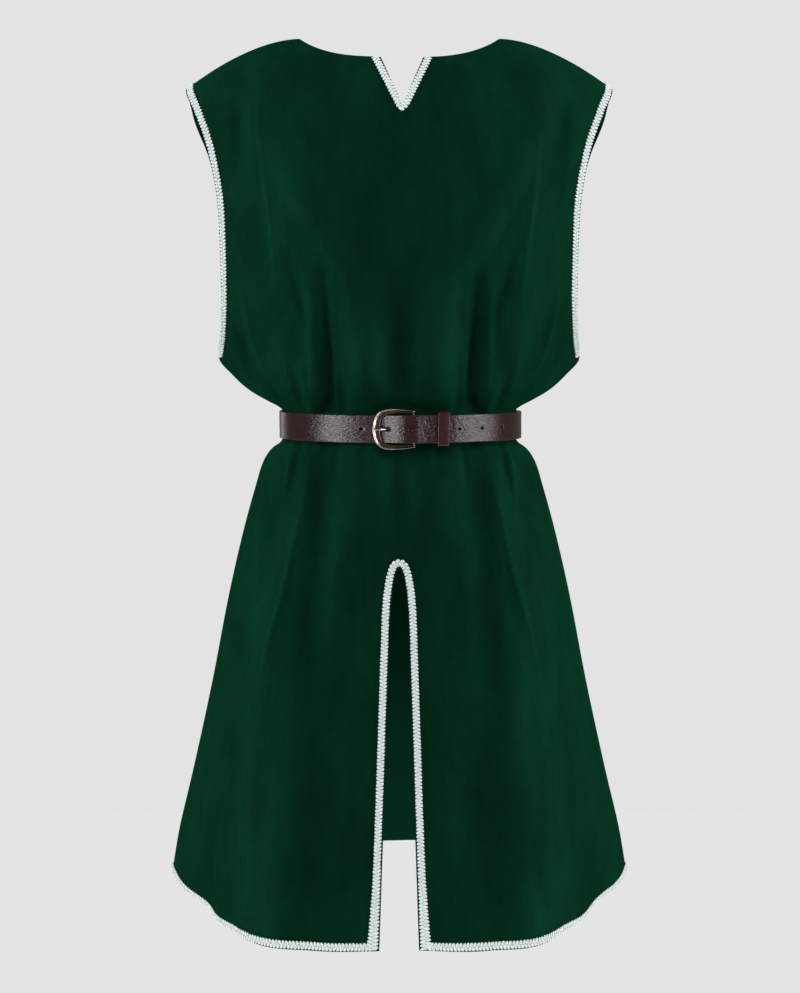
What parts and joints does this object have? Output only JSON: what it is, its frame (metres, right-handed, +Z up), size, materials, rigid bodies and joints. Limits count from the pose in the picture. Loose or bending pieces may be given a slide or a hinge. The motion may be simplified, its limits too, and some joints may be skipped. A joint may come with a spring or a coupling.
{
  "type": "sleeveless medieval surcoat with belt",
  "caption": "Sleeveless knee-length medieval surcoat, worn form, with neck notch, front slit, braid edging and a buckled leather belt.",
  "frame": {"origin": "midway between the neck ends of the two shoulder seams, where the wearer's shoulders carry the garment", "axes": "+Z up, -Y out of the wearer's front, +X to the wearer's left"},
  "size_m": [0.568, 0.372, 0.9939],
  "materials": {
    "cloth": "dark green brushed cloth, short soft nap, low sheen",
    "braid": "off-white gimp braid with scalloped edges",
    "leather": "dark red-brown polished leather with a fine grain",
    "buckle_metal": "polished pale brass"
  },
  "bodies": {
    "root": {"front_bodice": "cloth", "front_skirt": "cloth", "back_bodice": "cloth", "back_skirt": "cloth", "neck_notch_trim": "braid", "slit_trim": "braid", "armhole_trim_left": "braid", "armhole_trim_right": "braid", "hem_trim_front_left": "braid", "hem_trim_front_right": "braid", "hem_trim_back": "braid", "belt_strap": "leather", "belt_keeper": "leather", "buckle_frame": "buckle_metal", "buckle_prong": "buckle_metal"}
  },
  "joints": []
}
